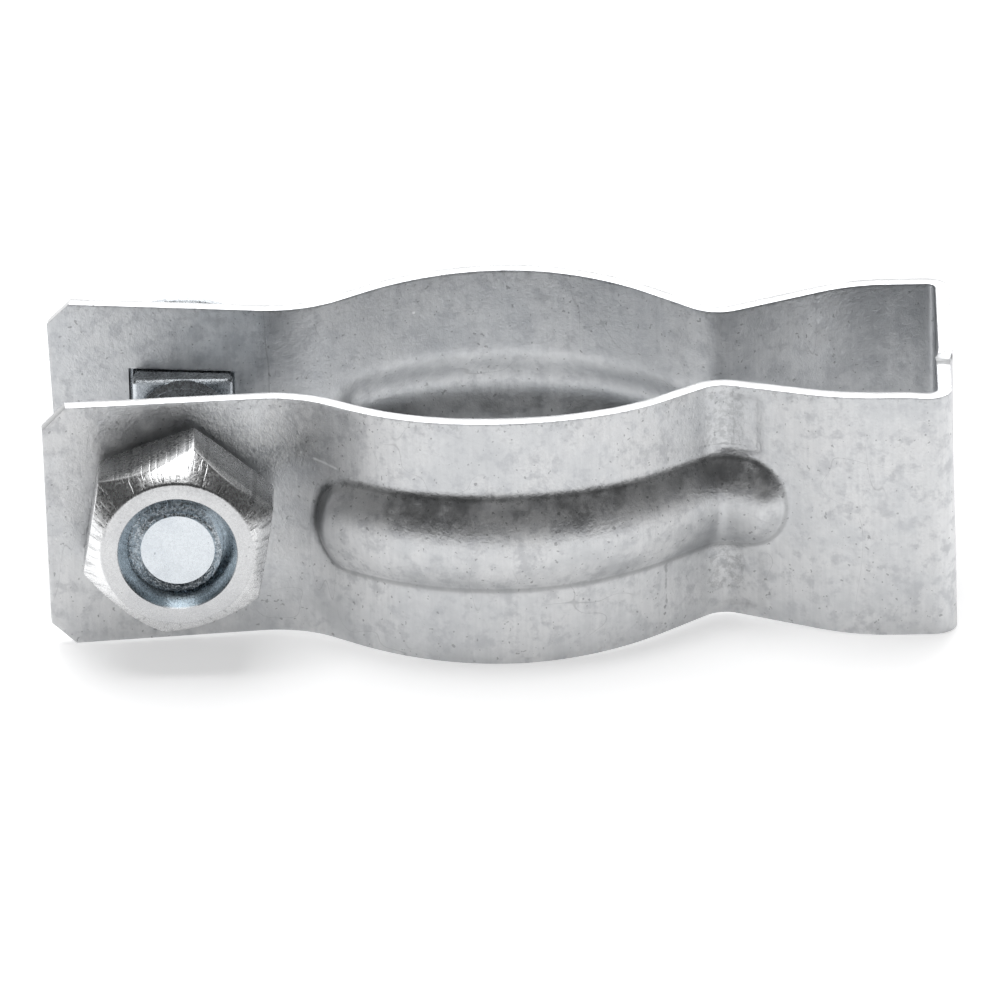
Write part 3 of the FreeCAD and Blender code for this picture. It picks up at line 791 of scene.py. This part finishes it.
sheetFinish = dict(
    light=(0.72, 0.725, 0.73, 1), dull=(0.53, 0.54, 0.55, 1), patch=(0.4, 0.41, 0.43, 1),
    # foot is painted shade: a dark line along each rib's foot
    speck=(0.24, 0.245, 0.25, 1), foot=(0.3, 0.305, 0.31, 1), paintedHighlight=(0.95, 0.955, 0.96, 1),
    # inside is painted shade: it darkens the inner face a little
    inside=(0.98, 0.985, 0.99, 1), rim=(0.68, 0.685, 0.69, 1),
    shares=dict(patches=0.5, streaks=0.13, foot=0.5, specks=0.6, flaking=0.6, rimFlakes=0.35,
                scratches=0.55, creasesAndShadeLines=0.5, pressed=0.4, torn=0.8),
    speckShare=0.05, scratchShare=0.6, wobble=(2.4, 1, 0.65), ragged=(2.3, 3, 0.78),
    pressedEdges=(0.4, 0.62), flakeEdges=(0.52, 0.62), rimFlakeEdges=(0.53, 0.64),
    footShadeBand=(0.005, 0.05, 0.09, 0.2),    # painted shade along each rib's foot, of the rib's height
    flakeBand=(0.004, 0.03, 0.16, 0.34),
    rimBand=(0.04, 0.12, 0.88, 0.96), innerEdges=(0.7, 0.9),  # of the depth in the sheet; the cut edge in the rim band is painted grey shade
    upperSoft=0.5, rimFlakeReach=(1.1, 0.15),  # mm, about the middle and below the upper edge
    unevenEdges=(0.2, 0.8), cloudRough=0.5, smoothest=0.33, roughest=0.5,
    grainBump=0.6, raggedBump=1.1,
    marks=(  # leg, X, Z, half length, half height, turn, soft, ragged: all in mm and degrees
        ("front", -25.8, 14.3, 0.07, 1.9, 4, 0.1, 0.1),
        ("front", -24.7, 8.2, 0.06, 2.6, -6, 0.09, 0.3),
        # The next four front lines are painted shade along the edges of the die marks beside the
        # neck
        ("front", 15.4, 14.0, 0.05, 2.0, 0, 0.1, 0.2),
        ("front", 14.0, 12.1, 1.4, 0.1, 0, 0.12, 0.35),
        ("front", 14.0, 4.9, 1.3, 0.08, 0, 0.12, 0.3),
        ("front", 12.6, 3.4, 0.09, 1.5, 0, 0.12, 0.35),
        ("back", -24.0, 14.4, 0.05, 1.7, 5, 0.09, 0.1),
    ),
    pressed=(  # roughened by the dies
        ("front", 14.05, 13.9, 1.45, 2.0, 0, 0.35, 0.9),
        ("front", 14.0, 3.3, 1.3, 1.8, 0, 0.35, 0.9),
    ),
    bright=(  # painted highlights: bright streaks where the sheet catches the light
        ("front", -10.75, 12.15, 1.0, 0.16, 12, 0.2, 0.12),
        ("front", -12.2, 12.6, 0.18, 0.22, 0, 0.2, 0.2),
        ("back", -5.7, 14.0, 0.17, 0.13, 0, 0.12, 0.2),
    ),
    burr=(legLength / mm - 3.1, 16.3, 1.0, 0.5, 0, 0.3, 1.2),  # torn metal, along the strip
)


def zincSheet(grainGroup, scratchGroup, markGroup):
    look = sheetFinish
    width = strap["width"] / mm
    material, tree, shader = newMaterial("zincSheet")
    place = inMillimetres(tree)
    own = put(tree, "UVMap", uv_map="UVMap").outputs[0]
    flat = put(tree, "VectorMath", {0: own, 1: (stripLength / mm, width, 0)},
               operation="MULTIPLY").outputs[0]
    up = put(tree, "SeparateXYZ", {0: flat}).outputs[1]
    grain, scratches = wornMasks(tree, place, look, grainGroup, scratchGroup)
    deep = put(tree, "Attribute", attribute_name="deep").outputs["Fac"]
    lifted = put(tree, "Attribute", attribute_name="lifted").outputs["Fac"]
    wobble = clouds(tree, place, *look["wobble"])
    ragged = clouds(tree, place, *look["ragged"])

    def markAt(length, z, halfLength, halfHeight, turn, soft, uneven):
        return useGroup(tree, markGroup, {
            "Flat Place": flat, "Wobble": wobble, "Centre": (length, z, 0),
            "Half Length": halfLength, "Half Height": halfHeight,
            "Turn": math.radians(turn), "Soft": soft, "Ragged": uneven})["Mask"]

    def placed(marks):
        masks = []
        for leg, x, *rest in marks:
            length = alongAt(x * mm) / mm
            masks.append(markAt(stripLength / mm - length if leg == "back" else length, *rest))
        return most(tree, masks)

    inner = ramp(tree, deep, *look["innerEdges"])
    outer = maths(tree, "SUBTRACT", 1.0, inner)
    edge = band(tree, deep, *look["rimBand"])
    # painted shade: a dark line along the foot of each rib, on the outside
    footShade = times(tree, band(tree, lifted, *look["footShadeBand"]), outer)
    upper = ramp(tree, up, width / 2 - look["upperSoft"], width / 2 + look["upperSoft"])
    flaking = times(tree, band(tree, lifted, *look["flakeBand"]), upper,
                    ramp(tree, ragged, *look["flakeEdges"]), outer)
    underRim = ramp(tree, up, *(width - reach for reach in look["rimFlakeReach"]))
    rimFlakes = times(tree, underRim, ramp(tree, ragged, *look["rimFlakeEdges"]))
    pressed = times(tree, placed(look["pressed"]), ramp(tree, ragged, *look["pressedEdges"]))

    colour = tint(tree, grain["Cloud"], look["dull"], look["light"])
    colour = layered(tree, colour, look, (
        (grain["Patches"], "patches", "patch"),
        (grain["Streaks"], "streaks", "patch"),
    ))
    # painted shade: the inner face darkened a little
    colour = tint(tree, inner, colour, tint(tree, 1.0, colour, look["inside"], "MULTIPLY"))
    colour = layered(tree, colour, look, (
        # painted shade along the ribs' feet
        (footShade, "foot", "foot"),
        (grain["Specks"], "specks", "speck"),
        (flaking, "flaking", "speck"),
        (rimFlakes, "rimFlakes", "speck"),
        (scratches, "scratches", "speck"),
        # creases, and painted shade lines at the die marks
        (placed(look["marks"]), "creasesAndShadeLines", "speck"),
        (pressed, "pressed", "speck"),
    ))
    # painted shade: the cut edge through the sheet painted grey
    colour = tint(tree, edge, colour, look["rim"])
    # painted highlight: bright streaks laid into the sheet's colour
    colour = tint(tree, placed(look["bright"]), colour, look["paintedHighlight"])
    colour = layered(tree, colour, look, ((markAt(*look["burr"]), "torn", "speck"),))
    uneven = maths(tree, "ADD", times(tree, grain["Cloud"], look["cloudRough"]),
                   times(tree, grain["Grain"], 1 - look["cloudRough"]))
    coat(tree, shader, look, colour, uneven,
         ((grain["Grain"], look["grainBump"]), (ragged, look["raggedBump"])))
    return material


# The bolt: bright zinc plate, bluish

boltFinish = dict(
    bright=(0.62, 0.655, 0.685, 1), dull=(0.56, 0.595, 0.63, 1), pit=(0.24, 0.27, 0.3, 1),
    shares=dict(torn=0.45, specks=0.5, scratches=0.4),
    speckShare=0.015, scratchShare=0.5,
    chamferEdges=(-0.12, 0.08), tipEdges=(0.5, 0.7),  # mm, from the tip's rim and from its face
    torn=(2.6, 3, 0.75, 0.8), tornEdges=(0.44, 0.6),
    unevenEdges=(0.25, 0.75), smoothest=0.2, roughest=0.34, grainBump=0.25, tornBump=-1.2,
)


def zincBolt(grainGroup, scratchGroup):
    look = boltFinish
    material, tree, shader = newMaterial("zincBolt")
    place = inMillimetres(tree)
    grain, scratches = wornMasks(tree, place, look, grainGroup, scratchGroup)
    _, y, _, radius = aroundBolt(tree, place)
    rim = bolt["tipDiameter"] / 2 / mm
    chamfer = ramp(tree, radius, *(rim + edge for edge in look["chamferEdges"]))
    atTip = fall(tree, y, *(boltTipY / mm + edge for edge in look["tipEdges"]))
    torn = ramp(tree, clouds(tree, place, *look["torn"]), *look["tornEdges"])
    torn = times(tree, torn, chamfer, atTip)
    colour = tint(tree, grain["Cloud"], look["dull"], look["bright"])
    colour = layered(tree, colour, look, (
        (torn, "torn", "pit"),
        (grain["Specks"], "specks", "pit"),
        (scratches, "scratches", "pit"),
    ))
    coat(tree, shader, look, colour, grain["Grain"],
         ((grain["Grain"], look["grainBump"]), (torn, look["tornBump"])))
    return material


# The nut: duller plate, dragged by the forming die, with a painted highlight on its bevel and
# painted shade in its countersinks

nutFinish = dict(
    light=(0.58, 0.585, 0.59, 1), dull=(0.5, 0.505, 0.515, 1), drag=(0.2, 0.205, 0.21, 1),
    # sink is painted shade: the countersinks and bore made darker and bluish
    sink=(0.42, 0.49, 0.54, 1), bevelHighlight=(0.86, 0.865, 0.87, 1),
    shares=dict(bevel=0.8, dragged=0.5, specks=0.5, scratches=0.5),
    speckShare=0.02, scratchShare=0.6,
    spokes=9.0, spokeLength=0.35, drags=(1.6, 3, 0.75), dragEdges=(0.5, 0.66),
    bevelEdges=(-0.05, 0.1), bevelDepth=(1.7, 2.1), sinkEdge=0.1,  # mm
    unevenEdges=(0.25, 0.75), smoothest=0.2, roughest=0.36, grainBump=0.35, dragBump=-0.5,
)


def zincNut(grainGroup, scratchGroup):
    look = nutFinish
    material, tree, shader = newMaterial("zincNut")
    place = inMillimetres(tree)
    grain, scratches = wornMasks(tree, place, look, grainGroup, scratchGroup)
    x, y, z, radius = aroundBolt(tree, place)
    spoke = put(tree, "CombineXYZ", {0: times(tree, maths(tree, "ARCTAN2", z, x), look["spokes"]),
                                     1: times(tree, radius, look["spokeLength"])})
    face, sinkRim = nut["washerFace"] / 2 / mm, nut["sink"] / 2 / mm
    outside = ramp(tree, radius, *(face + edge for edge in look["bevelEdges"]))
    drags = clouds(tree, spoke.outputs[0], *look["drags"])
    dragged = times(tree, ramp(tree, drags, *look["dragEdges"]), outside)
    nearFace = fall(tree, y, *(nutOuterY / mm + edge for edge in look["bevelDepth"]))
    onBevel = times(tree, outside, nearFace)
    sinkShade = fall(tree, radius, sinkRim - look["sinkEdge"], sinkRim)
    colour = tint(tree, grain["Cloud"], look["dull"], look["light"])
    colour = layered(tree, colour, look, (
        # painted highlight: the bevel and the outer ends of the flats made lighter
        (onBevel, "bevel", "bevelHighlight"),
        (dragged, "dragged", "drag"),
    ))
    # painted shade: the countersinks and bore darker and bluish
    colour = tint(tree, sinkShade, colour, look["sink"])
    colour = layered(tree, colour, look, (
        (grain["Specks"], "specks", "drag"),
        (scratches, "scratches", "drag"),
    ))
    coat(tree, shader, look, colour, grain["Grain"],
         ((grain["Grain"], look["grainBump"]), (dragged, look["dragBump"])))
    return material


# Floor, backdrop and lights

studio = dict(  # each light has a name, place, size and power
    floorSize=4, floorColour=(0.86, 0.86, 0.865, 1), floorRough=0.9, floorGlow=0.5,
    floorInMetal=(0.46, 0.56), shadeReach=(8 * mm, 21 * mm), shadeEnds=24 * mm,
    roomTurn=(0.25, 0.85), roomGlow=(0.07, 0.95),  # in front and behind
    overhead=(0.9, 0.99), overheadGlow=0.55,
    lights=(("softTop", (-0.06, 0.02, 0.62), 0.42, 2.0), ("softBack", (0.03, 0.45, 0.5), 0.4, 1.9)),
)


def makeFloor():
    bpy.ops.mesh.primitive_plane_add(size=studio["floorSize"], location=(0, 0, 0))
    floor = newest("floor")
    material, tree, shader = newMaterial("paleFloor")
    shader.inputs["Base Color"].default_value = studio["floorColour"]
    shader.inputs["Roughness"].default_value = studio["floorRough"]
    path = put(tree, "LightPath")
    inMetal = most(tree, (path.outputs["Is Glossy Ray"], path.outputs["Is Transmission Ray"]))
    parts = put(tree, "SeparateXYZ", {0: put(tree, "TexCoord").outputs["Object"]})
    lengthwise, aside = (maths(tree, "ABSOLUTE", parts.outputs[axis]) for axis in ("X", "Y"))
    beyondEnds = maths(tree, "SUBTRACT", lengthwise, studio["shadeEnds"])
    away = maths(tree, "MAXIMUM", aside, beyondEnds)
    # painted shadow: the floor, as seen in the metal, glows less near the strap
    shade = ramp(tree, away, *studio["shadeReach"], *studio["floorInMetal"])
    seen = times(tree, path.outputs["Is Camera Ray"], studio["floorGlow"])
    glow = maths(tree, "ADD", seen, times(tree, inMetal, shade))
    shader.inputs["Emission Color"].default_value = (1, 1, 1, 1)
    feed(tree, shader.inputs["Emission Strength"], glow)
    floor.data.materials.append(material)


def makeRoom():  # white behind and overhead, dim in front
    world = bpy.data.worlds.new("studio")
    bpy.context.scene.world = world
    world.use_nodes = True
    tree = world.node_tree
    parts = put(tree, "SeparateXYZ", {0: put(tree, "TexCoord").outputs["Generated"]})
    behind = ramp(tree, parts.outputs["Y"], *studio["roomTurn"], *studio["roomGlow"])
    above = ramp(tree, parts.outputs["Z"], *studio["overhead"], 0.0, studio["overheadGlow"])
    seen = put(tree, "LightPath").outputs["Is Camera Ray"]
    background = tree.nodes["Background"].inputs
    feed(tree, background["Strength"], most(tree, (behind, above, seen)))
    background["Color"].default_value = (1, 1, 1, 1)


def makeLights():
    for name, place, size, power in studio["lights"]:
        light = bpy.data.lights.new(name, "AREA")
        light.size = size
        light.energy = power
        lamp = bpy.data.objects.new(name, light)
        bpy.context.collection.objects.link(lamp)
        lamp.location = place
        lamp.rotation_euler = (-Vector(place)).to_track_quat("-Z", "Y").to_euler()


view = dict(  # the camera: its lens, its place and what it is aimed at
    lens=600, distance=1.0417, turn=0.7, rise=24.5, roll=1.3,
    aside=-0.13 * mm, below=-2.32 * mm, height=8.15 * mm,
)


def makeCamera():
    turn, rise, roll = (math.radians(view[key]) for key in ("turn", "rise", "roll"))
    forward = Vector((-math.sin(turn) * math.cos(rise), math.cos(turn) * math.cos(rise),
                      -math.sin(rise)))
    right = Vector((math.cos(turn), math.sin(turn), 0))
    up = right.cross(forward)
    rolledRight = right * math.cos(roll) - up * math.sin(roll)
    rolledUp = up * math.cos(roll) + right * math.sin(roll)
    aim = Vector((0, 0, view["height"])) + up * view["below"] + right * view["aside"]
    data = bpy.data.cameras.new("camera")
    data.lens = view["lens"]
    camera = bpy.data.objects.new("camera", data)
    bpy.context.collection.objects.link(camera)
    turnMatrix = Matrix((rolledRight, rolledUp, -forward)).transposed().to_4x4()
    camera.matrix_world = Matrix.Translation(aim - forward * view["distance"]) @ turnMatrix
    bpy.context.scene.camera = camera
    bpy.context.scene.view_settings.view_transform = "Standard"


makeCamera()
makeFloor()
makeRoom()
makeLights()
print("studio made")
sheet = makeStrap()
print("strap made")
carriageBolt = makeBolt()
print("bolt made")
hexNut = makeNut()
print("nut made")
zincGrain, scratches = makeZincGrain(), makeScratches()
for piece, body, node, slot, finish in (
    (sheet, "strap", "strap", "zinc_sheet", zincSheet(zincGrain, scratches, makePlacedMark())),
    (carriageBolt, "bolt", "carriage_bolt", "zinc_bolt", zincBolt(zincGrain, scratches)),
    (hexNut, "nut", "hex_nut", "zinc_nut", zincNut(zincGrain, scratches)),
):
    piece.data.materials.clear()
    piece.data.materials.append(finish)
    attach(piece, body)
    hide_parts(node)
    print(piece.name, len(piece.data.polygons))
